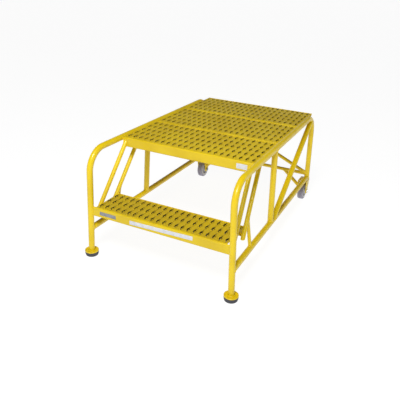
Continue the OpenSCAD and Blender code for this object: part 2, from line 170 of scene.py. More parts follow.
class PaintProps(PropertyGroup):
    """Colours and texture of the finishes."""

    yellow: FloatVectorProperty(
        name="Yellow",
        description="Colour of the powder coat where it is thick",
        subtype="COLOR",
        default=(0.77, 0.560, 0.004),
        min=0,
        max=1,
    )
    thin_yellow: FloatVectorProperty(
        name="Thin yellow",
        description="Colour of the powder coat where it is thin",
        subtype="COLOR",
        default=(0.70, 0.495, 0.004),
        min=0,
        max=1,
    )
    # Painted shade: laid on the sheet of the treads round the openings, in place of the shade
    # between the teeth
    valley_shade: FloatVectorProperty(
        name="Valley",
        description="Colour of the grime on the treads between the teeth",
        subtype="COLOR",
        default=(0.25, 0.182, 0.024),
        min=0,
        max=1,
    )
    # Painted shade: laid down the walls of the tread openings in place of the shade deep inside
    # them, not a thinner coat
    opening_shade: FloatVectorProperty(
        name="Recess",
        description="Colour deep in the openings of the treads, where the coat is thinnest",
        subtype="COLOR",
        default=(0.058, 0.046, 0.014),
        min=0,
        max=1,
    )
    gloss: FloatProperty(
        name="Roughness", description="Roughness of the powder coat", default=0.36, min=0, max=1
    )
    peel: FloatProperty(
        name="Orange peel",
        description="Height of the ripples in the powder coat",
        unit="LENGTH",
        default=0.00003,
        min=0,
        max=0.001,
    )
    rubber: FloatVectorProperty(
        name="Rubber",
        description="Colour of the feet",
        subtype="COLOR",
        default=(0.018, 0.018, 0.020),
        min=0,
        max=1,
    )
    tyre: FloatVectorProperty(
        name="Tyre",
        description="Colour of the tyres",
        subtype="COLOR",
        default=(0.30, 0.285, 0.345),
        min=0,
        max=1,
    )
    hub: FloatVectorProperty(
        name="Hub",
        description="Colour of the wheel hubs",
        subtype="COLOR",
        default=(0.55, 0.54, 0.54),
        min=0,
        max=1,
    )


class WeldProps(PropertyGroup):
    """Sizes of the weld beads."""

    bead: FloatProperty(
        name="Bead",
        description="Radius of a weld bead on the frame tubes",
        unit="LENGTH",
        default=0.0026,
        min=0.001,
        max=0.006,
    )
    ripple_pitch: FloatProperty(
        name="Ripple pitch",
        description="Spacing of the ripples along a bead",
        unit="LENGTH",
        default=0.0032,
        min=0.001,
        max=0.01,
    )
    fine_bead: FloatProperty(
        name="Fine bead",
        description="Radius of a weld bead on the smaller tubes and the planks",
        unit="LENGTH",
        default=0.0019,
        min=0.001,
        max=0.005,
    )
    ripple_share: FloatProperty(
        name="Ripple depth",
        description="Depth of the ripples as a share of the bead",
        subtype="FACTOR",
        default=0.16,
        min=0,
        max=0.5,
    )


class StudioProps(PropertyGroup):
    """Camera and light."""

    eye: FloatVectorProperty(
        name="Eye",
        description="Place of the camera",
        subtype="TRANSLATION",
        default=(0.8965, -2.0604, 1.1973),
    )
    azimuth: FloatProperty(
        name="Azimuth",
        description="Turn of the camera to the right of the front",
        subtype="ANGLE",
        default=math.radians(25.3307),
    )
    elevation: FloatProperty(
        name="Elevation",
        description="Tilt of the camera above level",
        subtype="ANGLE",
        default=math.radians(25.514),
    )
    roll: FloatProperty(
        name="Roll",
        description="Turn of the camera about its own axis",
        subtype="ANGLE",
        default=math.radians(2.5213),
    )
    lens: FloatProperty(
        name="Lens", description="Focal length on a 36 mm sensor", default=43.2013, min=10, max=200
    )
    sky: FloatProperty(
        name="Sky", description="Strength of the light from all round", default=0.08, min=0, max=5
    )
    horizon: FloatProperty(
        name="Horizon",
        description="Strength of the light low down all round",
        default=0.95,
        min=0,
        max=5,
    )
    key: FloatProperty(
        name="Key", description="Strength of the main light", default=2.15, min=0, max=20
    )
    glow: FloatProperty(
        name="Floor glow", description="Light of the floor's own", default=0.93, min=0, max=2
    )
    key_azimuth: FloatProperty(
        name="Key azimuth",
        description="Turn of the main light to the right of the front",
        subtype="ANGLE",
        default=math.radians(14),
    )
    key_elevation: FloatProperty(
        name="Key elevation",
        description="Height of the main light above level",
        subtype="ANGLE",
        default=math.radians(50),
    )
    softness: FloatProperty(
        name="Softness",
        description="Width of the main light, as an angle",
        subtype="ANGLE",
        default=math.radians(18),
    )
    key_distance: FloatProperty(
        name="Key distance",
        description="Distance of the main light from the middle of the object",
        unit="LENGTH",
        default=3.6,
        min=1,
        max=20,
    )


class Flow:
    """A value or colour that runs through a material, so that sums on it add Math nodes."""

    def __init__(self, finish, socket):
        self.finish, self.socket = finish, socket

    def math(self, operation, *values):
        values = dict(enumerate(values or (self,)))
        return self.finish.node("ShaderNodeMath", {"operation": operation}, values)

    def __add__(self, other):
        return self.math("ADD", self, other)

    def __radd__(self, other):
        return self.math("ADD", other, self)

    def __sub__(self, other):
        return self.math("SUBTRACT", self, other)

    def __rsub__(self, other):
        return self.math("SUBTRACT", other, self)

    def __mul__(self, other):
        return self.math("MULTIPLY", self, other)

    def __rmul__(self, other):
        return self.math("MULTIPLY", other, self)

    def __abs__(self):
        return self.math("ABSOLUTE", self)

    def above(self, low, high):
        """0 below low, 1 above high and smooth between."""
        return self.finish.node(
            "ShaderNodeMapRange",
            {"interpolation_type": "SMOOTHSTEP"},
            {"Value": self, "From Min": low, "From Max": high},
        )


class Finish:
    """One procedural material. Its patterns follow the piece's own coordinates, in metres."""

    def __init__(self, name, **constants):
        self.material = bpy.data.materials.new(name)
        self.material.use_nodes = True
        self.tree = self.material.node_tree
        self.shader = self.tree.nodes["Principled BSDF"]
        self.place = self.node("ShaderNodeTexCoord", output="Object")
        for socket, value in constants.items():
            self.shader.inputs[socket.replace("_", " ")].default_value = value

    def node(self, kind, settings=None, inputs=None, output=0):
        made = self.tree.nodes.new(kind)
        for key, value in (settings or {}).items():
            setattr(made, key, value)
        for key, value in (inputs or {}).items():
            if isinstance(value, Flow):
                self.tree.links.new(value.socket, made.inputs[key])
            else:
                made.inputs[key].default_value = value
        return Flow(self, made.outputs[output])

    def noise(self, scale, detail=2.0, stretch=None):
        where = self.place
        if stretch:
            where = self.node("ShaderNodeMapping", None, {"Vector": where, "Scale": stretch})
        return self.node(
            "ShaderNodeTexNoise", None, {"Vector": where, "Scale": scale, "Detail": detail}
        )

    def mix(self, share, first, second):
        colours = {0: share, 6: (*first, 1) if not isinstance(first, Flow) else first}
        colours[7] = (*second, 1) if not isinstance(second, Flow) else second
        return self.node("ShaderNodeMix", {"data_type": "RGBA"}, colours, output=2)

    def bump(self, height, depth, strength=1.0):
        return self.node(
            "ShaderNodeBump", None, {"Height": height, "Distance": depth, "Strength": strength}
        )

    def set(self, **flows):
        for socket, flow in flows.items():
            self.tree.links.new(flow.socket, self.shader.inputs[socket.replace("_", " ")])
        return self.material


def openings(coat, tread):
    """Three masks for a tread: the inner walls of its diamond openings, from near the teeth's tips
    down, the sheet between the openings, and a wider diamond round each opening."""
    across, along, height = (
        coat.node("ShaderNodeSeparateXYZ", None, {"Vector": coat.place}, output=k) for k in "XYZ"
    )
    row = TREADS[tread][1]
    columns = across * (1 / DIAMOND_PITCH)
    aside = abs(columns.math("FRACT") - 0.5) * (DIAMOND_PITCH / DIAMOND_HALF_W)
    places = (along - middle(tread).y) * (1 / row) + 0.5
    ahead = abs(places.math("FRACT") - 0.5) * (row / DIAMOND_HALF_L)
    inside = 1 - (aside + ahead).above(1.06, 1.22)
    low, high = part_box(tread)
    sheet_top = high.z - COLLAR_H
    margin = (high.y - low.y) / 2
    rows = 1 - abs(along - middle(tread).y).above(margin - 0.008, margin - 0.002)
    round_them = 1 - (aside + ahead).above(1.3, 1.9)
    walls = inside * (1 - height.above(sheet_top + 0.001, high.z - 0.0002))
    sheet = rows * (1 - height.above(sheet_top + 0.0004, high.z - 0.0008))
    return walls, sheet, round_them


def powder_coat(name, tint=1.0, rough=0.0, tread=None):
    """Safety yellow powder coat: orange peel, slow drift of film thickness, faint scuffs.
    On a tread, the sheet round the openings is painted darker and the walls of the openings nearly
    black, as painted shade between and inside the teeth."""
    look = bpy.context.scene.platform_paint
    coat = Finish(name, Specular_IOR_Level=0.35, Coat_Weight=0.22, Coat_Roughness=0.14)
    drift = coat.noise(7.0, 3.0).above(0.38, 0.66)
    thick = tuple(c * tint for c in look.yellow)
    thin = tuple(c * tint for c in look.thin_yellow)
    colour = coat.mix(drift, thick, thin)
    speck = coat.noise(420.0, 1.0).above(0.72, 0.80)
    colour = coat.mix(speck * 0.25, colour, tuple(c * 0.8 for c in thin))
    if tread:
        walls, sheet, round_them = openings(coat, tread)
        # Painted shade on the sheet between the teeth, darkest round each opening, and a larger
        # share on the whole step
        painted_shade = round_them * 0.5 + TREADS[tread][2]
        colour = coat.mix(sheet * painted_shade, colour, look.valley_shade)
        # Painted shade down the walls of the openings, nearly black, for the shade deep inside them
        colour = coat.mix(walls * 0.95, colour, look.opening_shade)
    scuff = coat.noise(60.0, 4.0, stretch=(1.0, 1.0, 0.25)).above(0.62, 0.72)
    gloss = look.gloss + rough
    peel = coat.noise(650.0, 2.0)
    return coat.set(
        Base_Color=colour,
        Roughness=scuff * 0.10 + drift * 0.05 + gloss,
        Normal=coat.bump(peel, look.peel, 0.6),
    )


def rubber_finish():
    """Black moulded rubber with a fine grain and a breath of dust."""
    look = bpy.context.scene.platform_paint
    rubber = Finish("black_rubber", Specular_IOR_Level=0.35)
    dust = rubber.noise(35.0, 4.0).above(0.5, 0.8)
    grain = rubber.noise(900.0, 2.0)
    return rubber.set(
        Base_Color=rubber.mix(dust * 0.35, look.rubber, (0.07, 0.068, 0.065)),
        Roughness=dust * 0.15 + 0.62,
        Normal=rubber.bump(grain, 0.00006, 0.5),
    )


def tyre_finish():
    """Grey non-marking tyre: soft sheen, faint rolling marks round the tread."""
    look = bpy.context.scene.platform_paint
    tyre = Finish("grey_tyre", Specular_IOR_Level=0.4)
    dust = tyre.noise(40.0, 4.0).above(0.45, 0.75)
    marks = tyre.noise(90.0, 3.0, stretch=(6.0, 0.6, 0.6)).above(0.5, 0.75)
    grain = tyre.noise(800.0, 2.0)
    scuffed = tuple(min(1, c * 1.35) for c in look.tyre)
    return tyre.set(
        Base_Color=tyre.mix(dust * 0.4 + marks * 0.3, look.tyre, scuffed),
        Roughness=dust * 0.15 + 0.5,
        Normal=tyre.bump(grain + marks * 0.4, 0.00006, 0.5),
    )


def hub_finish():
    """Pale moulded plastic with a fine spark texture."""
    look = bpy.context.scene.platform_paint
    hub = Finish("pale_hub_plastic", IOR=1.49)
    cloud = hub.noise(30.0, 3.0).above(0.4, 0.7)
    spark = hub.noise(1100.0, 2.0)
    return hub.set(
        Base_Color=hub.mix(cloud, look.hub, tuple(c * 0.9 for c in look.hub)),
        Roughness=cloud * 0.08 + 0.42,
        Normal=hub.bump(spark, 0.00004, 0.5),
    )


def zinc_finish():
    """Bright zinc plate with a faint spangle."""
    zinc = Finish("zinc_plate", Metallic=1.0)
    spangle = zinc.noise(180.0, 3.0).above(0.35, 0.7)
    fine = zinc.noise(1500.0, 2.0)
    return zinc.set(
        Base_Color=zinc.mix(spangle, (0.62, 0.63, 0.65), (0.48, 0.49, 0.52)),
        Roughness=spangle * 0.14 + 0.28,
        Normal=zinc.bump(fine, 0.00002, 0.5),
    )


def bronze_finish():
    """Sintered bronze, dull and slightly oily."""
    bronze = Finish("sintered_bronze", Metallic=1.0)
    pores = bronze.noise(1400.0, 2.0)
    stain = bronze.noise(90.0, 3.0).above(0.4, 0.7)
    return bronze.set(
        Base_Color=bronze.mix(stain, (0.50, 0.33, 0.16), (0.33, 0.20, 0.09)),
        Roughness=stain * 0.15 + 0.4,
        Normal=bronze.bump(pores, 0.00004, 0.6),
    )


def plate_finish(name, colour, worn, metallic):
    """A thin blank plate or film: nearly even, with a little print-like haze."""
    film = Finish(name, Metallic=metallic)
    haze = film.noise(55.0, 3.0).above(0.4, 0.7)
    grain = film.noise(700.0, 2.0, stretch=(0.1, 1.0, 1.0))
    return film.set(
        Base_Color=film.mix(haze, colour, worn),
        Roughness=haze * 0.12 + 0.38,
        Normal=film.bump(grain, 0.00001, 0.4),
    )


def give(piece, material):
    """The piece shows this material and no other."""
    piece.data.materials.clear()
    piece.data.materials.append(material)


def finish_of(name):
    """A finish that the paint operator has made."""
    return bpy.data.materials[name]


FRAME_NODES = (
    "frame_tube lower_rail mid_post side_brace cross_tube diagonal_brace hanger hanger_strut "
    "foot_plate wheel_fork fork_brace"
).split()
FINISHES = {
    "frame_coat": FRAME_NODES,
    "plank_coat": ["channels"],
    **{f"{tread}_coat": [tread] for tread in TREADS},
    "black_rubber": ["rubber_foot"],
    "grey_tyre": ["tyre"],
    "pale_hub_plastic": ["wheel_hub"],
    "zinc_plate": ["axle_bolt", "axle_nut", "axle_sleeve"],
    "sintered_bronze": ["wheel_bush"],
}


def only(piece):
    """Selects one object and nothing else."""
    bpy.ops.object.select_all(action="DESELECT")
    piece.select_set(True)
    bpy.context.view_layer.objects.active = piece


def settle(piece, name, body, material):
    """Names a new piece, puts its place into its mesh, gives it its finish and lets it ride."""
    only(piece)
    bpy.ops.object.transform_apply(location=True, rotation=True, scale=True)
    piece.name = piece.data.name = name
    give(piece, material)
    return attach(piece, body)


class PLATFORM_OT_paint(Operator):
    """Makes the finishes and gives each solid of the frame its own"""

    bl_idname = "platform.paint"
    bl_label = "Paint the solids"

    def execute(self, context):
        powder_coat("frame_coat")
        # Painted shade: the planks' channels, fronts included, take the frame's coat a tenth darker
        # so that they look less lit
        powder_coat("plank_coat", tint=0.90, rough=0.04)
        for tread in TREADS:
            powder_coat(f"{tread}_coat", rough=0.04, tread=tread)
        powder_coat("weld_coat", tint=1.02, rough=-0.06)
        rubber_finish()
        tyre_finish()
        hub_finish()
        zinc_finish()
        bronze_finish()
        plate_finish("blank_white_film", (0.66, 0.67, 0.70), (0.56, 0.58, 0.63), 0.0)
        plate_finish("blank_grey_plate", (0.30, 0.31, 0.33), (0.22, 0.23, 0.25), 0.7)
        painted = set()
        for name, endings in FINISHES.items():
            for node, piece in NODES.items():
                if node.endswith(tuple(endings)):
                    give(piece, finish_of(name))
                    painted.add(node)
        left = sorted(set(NODES) - painted)
        if left:
            raise RuntimeError(f"no finish for {left}")
        return {"FINISHED"}


def pick_edges(piece, test):
    """Leaves the piece in edit mode, with the edges selected whose two ends pass a test."""
    only(piece)
    bpy.ops.object.mode_set(mode="EDIT")
    bpy.ops.mesh.select_mode(type="EDGE")
    bpy.ops.mesh.select_all(action="DESELECT")
    bpy.ops.object.mode_set(mode="OBJECT")
    points = piece.data.vertices
    for edge in piece.data.edges:
        edge.select = test(*(points[k].co for k in edge.vertices))
    bpy.ops.object.mode_set(mode="EDIT")


def clean_up(piece):
    """Merges doubles, turns all faces outwards and goes back to object mode."""
    only(piece)
    bpy.ops.object.mode_set(mode="EDIT")
    bpy.ops.mesh.select_all(action="SELECT")
    bpy.ops.mesh.remove_doubles(threshold=1e-6)
    bpy.ops.mesh.normals_make_consistent(inside=False)
    bpy.ops.object.mode_set(mode="OBJECT")
    return piece


def smooth(piece, angle=40):
    """Shades the piece smooth, but for its sharp edges."""
    only(piece)
    bpy.ops.object.shade_smooth_by_angle(angle=math.radians(angle))
    return piece


def drawn(points):
    """A line of points, drawn by extruding one vertex, left selected in edit mode."""
    bpy.ops.object.select_all(action="DESELECT")
    bpy.ops.mesh.primitive_plane_add(size=0.001)
    bpy.ops.object.mode_set(mode="EDIT")
    bpy.ops.mesh.select_mode(type="VERT")
    bpy.ops.mesh.select_all(action="SELECT")
    bpy.ops.mesh.merge(type="CENTER")
    bpy.ops.transform.translate(value=points[0])
    for a, b in zip(points, points[1:]):
        step = tuple(q - p for p, q in zip(a, b))
        bpy.ops.mesh.extrude_region_move(TRANSFORM_OT_translate={"value": step})
    bpy.ops.mesh.select_all(action="SELECT")
    return bpy.context.object


def turned(section, steps=72):
    """A closed piece turned about the z axis from its half section, given as (radius, height)."""
    piece = drawn([(r, 0, h) for r, h in section])
    bpy.ops.mesh.spin(steps=steps, angle=2 * math.pi, center=(0, 0, 0), axis=(0, 0, 1))
    bpy.ops.object.mode_set(mode="OBJECT")
    return clean_up(piece)


def rounded(corners, radii, count=4):
    """A line through corners, each rounded by an arc of its own radius."""
    line = []
    for k, (corner, radius) in enumerate(zip(corners, radii)):
        here = Vector(corner)
        if not radius:
            line.append(tuple(here))
            continue
        to_last = (Vector(corners[k - 1]) - here).normalized()
        to_next = (Vector(corners[k + 1]) - here).normalized()
        half = to_last.angle(to_next) / 2
        centre = here + (to_last + to_next).normalized() * radius / math.sin(half)
        first = here + to_last * radius / math.tan(half) - centre
        last = here + to_next * radius / math.tan(half) - centre
        whole = first.angle_signed(last)
        for j in range(count + 1):
            turn = -whole * j / count
            arc = Vector((
                first.x * math.cos(turn) - first.y * math.sin(turn),
                first.x * math.sin(turn) + first.y * math.cos(turn),
            ))
            line.append(tuple(centre + arc))
    return line


def cut_with(piece, tool, operation):
    """Cuts a piece with another one, which is used up."""
    only(piece)
    bpy.ops.object.modifier_add(type="BOOLEAN")
    cut = piece.modifiers[-1]
    cut.operation, cut.object, cut.solver = operation, tool, "EXACT"
    bpy.ops.object.modifier_apply(modifier=cut.name)
    bpy.data.objects.remove(tool)
    return piece


def joined(pieces):
    """Several pieces as one."""
    bpy.ops.object.select_all(action="DESELECT")
    for piece in pieces:
        piece.select_set(True)
    bpy.context.view_layer.objects.active = pieces[0]
    if len(pieces) > 1:
        bpy.ops.object.join()
    return pieces[0]


def copied(piece):
    """A copy of a piece with its own mesh."""
    twin = bpy.data.objects.new(piece.name, piece.data.copy())
    bpy.context.scene.collection.objects.link(twin)
    return twin


def softened(node, width):
    """A copy of a solid of the frame with its sharp edges rounded."""
    piece = copied(NODES[node])
    only(piece)
    bpy.ops.object.mode_set(mode="EDIT")
    bpy.ops.mesh.select_all(action="SELECT")
    bpy.ops.mesh.remove_doubles(threshold=1e-6)
    bpy.ops.mesh.dissolve_limited(angle_limit=math.radians(1))
    bpy.ops.object.mode_set(mode="OBJECT")
    bpy.ops.object.modifier_add(type="BEVEL")
    edge = piece.modifiers[-1]
    edge.width, edge.segments = width, 2
    edge.limit_method, edge.angle_limit = "ANGLE", math.radians(35)
    bpy.ops.object.modifier_apply(modifier=edge.name)
    return smooth(piece, 35)


def bead_along(points, radius, closed):
    """A rippled weld bead, as a mesh, along a row of points."""
    look = bpy.context.scene.platform_welds
    lengths = [0.0]
    for a, b in zip(points, points[1:]):
        lengths.append(lengths[-1] + (b - a).length)
    steps = max(6, 2 * round(lengths[-1] / look.ripple_pitch))
    curve = bpy.data.curves.new("bead", "CURVE")
    curve.dimensions = "3D"
    curve.bevel_depth = radius
    curve.bevel_resolution = 2
    curve.use_fill_caps = not closed
    spline = curve.splines.new("POLY")
    spline.points.add(steps - 1)
    spline.use_cyclic_u = closed
    span = 0
    for k, point in enumerate(spline.points):
        far = lengths[-1] * (k / steps if closed else k / (steps - 1))
        while span < len(points) - 2 and lengths[span + 1] < far:
            span += 1
        share = (far - lengths[span]) / max(1e-9, lengths[span + 1] - lengths[span])
        point.co = (*points[span].lerp(points[span + 1], share), 1)
        point.radius = 1 - look.ripple_share * (k % 2)
        if not closed:
            point.radius *= min(1, 0.6 + 0.2 * min(k, steps - 1 - k))
    bead = bpy.data.objects.new("bead", curve)
    bpy.context.scene.collection.objects.link(bead)
    only(bead)
    bpy.ops.object.convert(target="MESH")
    return smooth(clean_up(bpy.context.object), 60)


def ring(foot, way, radius, count=49):
    """Starting points round a tube whose axis passes through foot, and its way."""
    way = way.normalized()
    side = way.orthogonal().normalized()
    other = way.cross(side)
    turns = [2 * math.pi * k / (count - 1) for k in range(count)]
    return [foot + (side * math.cos(t) + other * math.sin(t)) * radius for t in turns], way


def saddle(foot, way, radius, main, main_way, main_radius):
    """Points of the line where a round tube, going this way from foot, meets another."""
    starts, way = ring(foot, way, radius)
    main_way = main_way.normalized()
    flat = way - main_way * way.dot(main_way)
    points = []
    for start in starts:
        off = start - main
        off -= main_way * off.dot(main_way)
        a, b, c = flat.length_squared, off.dot(flat), off.length_squared - main_radius**2
        root = math.sqrt(max(0.0, b * b - a * c))
        points.append(start + way * ((-b - root) / a))
    return points


def level_cut(foot, way, radius, face, normal):
    """Points of the line where a round tube meets a flat face."""
    starts, way = ring(foot, way, radius)
    return [s + way * ((face - s).dot(normal) / way.dot(normal)) for s in starts]


def kept_run(points, test):
    """The longest run of points of a closed line that pass a test."""
    loop = points[:-1]
    marks = [test(p) for p in loop]
    if all(marks):
        return points
    first = next(k for k in range(len(loop)) if marks[k] and not marks[k - 1])
    run = []
    for k in range(len(loop)):
        if not marks[(first + k) % len(loop)]:
            break
        run.append(loop[(first + k) % len(loop)])
    return run


def mirrored(points, side):
    """The same points on the left side or the right."""
    return [Vector((side * p.x, p.y, p.z)) for p in points]


def side_lines():
    """Lines of the welds of one side frame, for its larger beads and its finer ones."""
    low_front, low_rear = on_side(LEG_Y, LOW_RAIL.z), on_side(REAR_Y, LOW_RAIL.z)
    low_mid = on_side(POST_Y, LOW_RAIL.z)
    post_mid = on_side(POST_Y, (LOW_RAIL.z + RAIL_Z) / 2)
    rail_mid = on_side(POST_Y, RAIL_Z)
    foot, top = STRUT
    strut_mid, strut_up = (foot + top) / 2, top - foot
    rear_low, rear_high = (p + HANGER_PITCH * BACK for p in HANGER)
    return [
        saddle(low_mid, -BACK, TUBE_R, low_front, LEG_UP, TUBE_R),
        saddle(low_mid, BACK, TUBE_R, low_rear, LEG_UP, TUBE_R),
        saddle(post_mid, -LEG_UP, TUBE_R, low_mid, BACK, TUBE_R),
        saddle(post_mid, LEG_UP, TUBE_R, rail_mid, BACK, TUBE_R),
    ], [
        saddle(strut_mid, -strut_up, STRUT_R, foot, BACK, TUBE_R),
        saddle(strut_mid, strut_up, STRUT_R, rear_low, rear_high - rear_low, SMALL_R),
    ]


def brace_lines():
    """Lines of the welds of the side brace, which only the right side has."""
    foot, top = SIDE_BRACE
    way, centre = top - foot, (foot + top) / 2
    tangent = ACROSS.cross(top - BEND)
    return [
        saddle(centre, -way, TUBE_R, foot, BACK, TUBE_R),
        saddle(centre, way, TUBE_R, top, tangent, TUBE_R),
    ]


def rear_lines():
    """Lines of the welds at one rear corner: cross tube, fork and fork brace."""
    leg = on_side(REAR_Y, CROSS_Z)
    cross_mid = Vector((0, REAR_Y, CROSS_Z))
    leg_end = on_side(REAR_Y, FORK_HIGH.z)
    ring_round_leg = level_cut(leg_end + LEG_UP, LEG_UP, TUBE_R, leg_end, UP)
    flat_end = FORK_HIGH.x - FORK_CORNER
    brace_top, brace_end = FORK_BRACE
    brace_mid, brace_way = (brace_top + brace_end) / 2, brace_end - brace_top
    return [kept_run(ring_round_leg, lambda p: p.x < flat_end)], [
        saddle(cross_mid, ACROSS, SMALL_R, leg, LEG_UP, TUBE_R),
        saddle(brace_mid, -brace_way, SMALL_R, brace_top, ACROSS, SMALL_R),
        level_cut(brace_mid, brace_way, SMALL_R, brace_end, ACROSS),
    ]


def diagonal_lines():
    """Lines of the welds of the rear diagonal: right leg, cross tube and left bend."""
    foot, top = DIAGONAL
    way, centre = top - foot, (foot + top) / 2
    left_bend = Vector((-BEND.x, BEND.y, BEND.z))
    tangent = ACROSS.cross(top - left_bend)

    def off_cross(p):
        return math.hypot(p.y - foot.y, p.z - foot.z) > SMALL_R

    def off_leg(p):
        return (p - foot).cross(LEG_UP).length > TUBE_R

    on_leg = saddle(centre, -way, SMALL_R, foot, LEG_UP, TUBE_R)
    on_cross = saddle(centre, -way, SMALL_R, foot, ACROSS, SMALL_R)
    return [
        kept_run(on_leg, off_cross),
        kept_run(on_cross, off_leg),
        saddle(centre, way, SMALL_R, top, tangent, TUBE_R),
    ]


def deck_lines():
    """Lines of the welds of the deck on one side: channel ends to the rail, front hanger."""
    low, high = HANGER
    front = Vector((0, DECK_LOW.y, 0))
    lines = [level_cut(low, high - low, SMALL_R, front, BACK)]
    for plank in ("front", "middle", "rear"):
        near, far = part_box(f"{plank}_plank_channels")
        for y in (near.y, far.y):
            rail = on_side(y, RAIL_Z)
            rail.x -= TUBE_R
            lines.append([rail + UP * share * TUBE_R for share in (-0.55, -0.2, 0.15, 0.45)])
    return lines


def step_lines():
    """Lines of the welds of the step on one side: channel to the leg, tread to the hangers."""
    face = STEP_LOW.y
    reach = math.sqrt(TUBE_R**2 - (LEG_Y - face) ** 2)
    heights = [STEP_LOW.z + (STEP_HIGH.z - STEP_LOW.z) * k / 8 for k in range(9)]
    lines = [[on_side(face, z) - ACROSS * reach for z in heights[1:]]]
    low, high = HANGER
    way = high - low
    for back in (0, HANGER_PITCH):
        axis = [low + way * ((z - low.z) / way.z) + BACK * back for z in heights[4:]]
        lines.append([p - ACROSS * SMALL_R for p in axis])
    return lines


def foot_lines():
    """Line of the weld of one front leg on its foot plate."""
    end = on_side(LEG_Y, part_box("right_foot_plate")[0].z + FOOT_PLATE_T)
    return [level_cut(end + LEG_UP, LEG_UP, TUBE_R, end, UP)]


class PLATFORM_OT_welds(Operator):
    """Lays the weld beads of the frame, the deck, the step and the feet"""

    bl_idname = "platform.welds"
    bl_label = "Lay the welds"

    def execute(self, context):
        thick_side, fine_side = side_lines()
        thick_rear, fine_rear = rear_lines()
        for name, side in SIDES.items():
            self.lay(f"{name}_side_welds", side, thick_side, fine_side)
            self.lay(f"{name}_rear_welds", side, thick_rear, fine_rear)
            self.lay(f"{name}_deck_welds", side, [], deck_lines())
            self.lay(f"{name}_step_welds", side, [], step_lines())
            self.lay(f"{name}_foot_weld", side, foot_lines(), [])
        self.lay("side_brace_welds", 1, brace_lines(), [])
        self.lay("rear_diagonal_welds", 1, [], diagonal_lines())
        return {"FINISHED"}

    def lay(self, name, side, thick, fine):
        look = bpy.context.scene.platform_welds
        beads = []
        for lines, radius in ((thick, look.bead), (fine, look.fine_bead)):
            for line in lines:
                closed = (line[0] - line[-1]).length < 1e-6
                beads.append(bead_along(mirrored(line, side), radius, closed))
        settle(joined(beads), name, "frame", finish_of("weld_coat"))


class PLATFORM_OT_feet(Operator):
    """Turns the dished foot plates and the moulded rubber feet"""

    bl_idname = "platform.feet"
    bl_label = "Turn the feet"

    def execute(self, context):
        dish = rounded(DISH, DISH_ROUND)
        rubber = rounded(RUBBER + SOLE_GROOVES, RUBBER_ROUND + [0] * len(SOLE_GROOVES))
        for kind, title, section, slot, finish in (
            ("foot_plate", "dished_plate", dish, "frame_paint", "frame_coat"),
            ("rubber_foot", "moulded_foot", rubber, "black_rubber", "black_rubber"),
        ):
            model = smooth(turned([(r * MM, h * MM) for r, h in section]))
            for name in SIDES:
                node = f"{name}_{kind}"
                piece = copied(model)
                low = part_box(node)[0]
                centre = middle(node)
                piece.location = (centre.x, centre.y, low.z)
                settle(piece, f"{name}_{title}", "frame", finish_of(finish))
                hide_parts(node)
            bpy.data.objects.remove(model)
        return {"FINISHED"}


def hexagon(across, thick, bore, both):
    """A hexagon head or nut with its corners chamfered, standing on z = 0."""
    corner = across / math.sqrt(3)
    bpy.ops.object.select_all(action="DESELECT")
    bpy.ops.mesh.primitive_cylinder_add(
        vertices=6, radius=corner, depth=thick, location=(0, 0, thick / 2)
    )
    head = bpy.context.object
    bpy.ops.object.transform_apply(location=True)
    crown, past = across * 0.47, corner * 1.02
    drop = (past - crown) * math.tan(math.radians(30))
    low = [(crown, 0), (past, drop)] if both else [(past, 0)]
    high = [(past, thick - drop), (crown, thick)]
    if bore:
        lead = bore + BORE_LEAD
        line = [(lead, 0), *low, *high, (lead, thick)]
        line += [(bore, thick - BORE_LEAD), (bore, BORE_LEAD), (lead, 0)]
    else:
        line = [(0, 0), *low, *high, (0, thick)]
    return smooth(clean_up(cut_with(head, turned(line, 48), "INTERSECT")), 25)


def threaded(radius, pitch, turns, length):
    """A threaded rod that runs up from z = 0, cut flat at both ends."""
    root = radius - pitch * 0.6
    profile = ((root, -1), (radius, -0.55), (radius, -0.45), (root, 0))
    rod = drawn([(r, 0, pitch * share) for r, share in profile])
    bpy.ops.object.mode_set(mode="OBJECT")
    bpy.ops.object.modifier_add(type="SCREW")
    helix = rod.modifiers[-1]
    helix.screw_offset, helix.iterations = pitch, turns
    helix.steps = helix.render_steps = 32
    helix.use_merge_vertices = True
    bpy.ops.object.modifier_apply(modifier=helix.name)
    clean_up(rod)
    for height, lower in ((0, True), (length, False)):
        bpy.ops.object.mode_set(mode="EDIT")
        bpy.ops.mesh.select_all(action="SELECT")
        bpy.ops.mesh.bisect(
            plane_co=(0, 0, height),
            plane_no=(0, 0, 1),
            use_fill=True,
            clear_inner=lower,
            clear_outer=not lower,
        )
        bpy.ops.mesh.select_all(action="SELECT")
        bpy.ops.mesh.fill_holes(sides=4)
        bpy.ops.object.mode_set(mode="OBJECT")
    return smooth(clean_up(rod), 25)


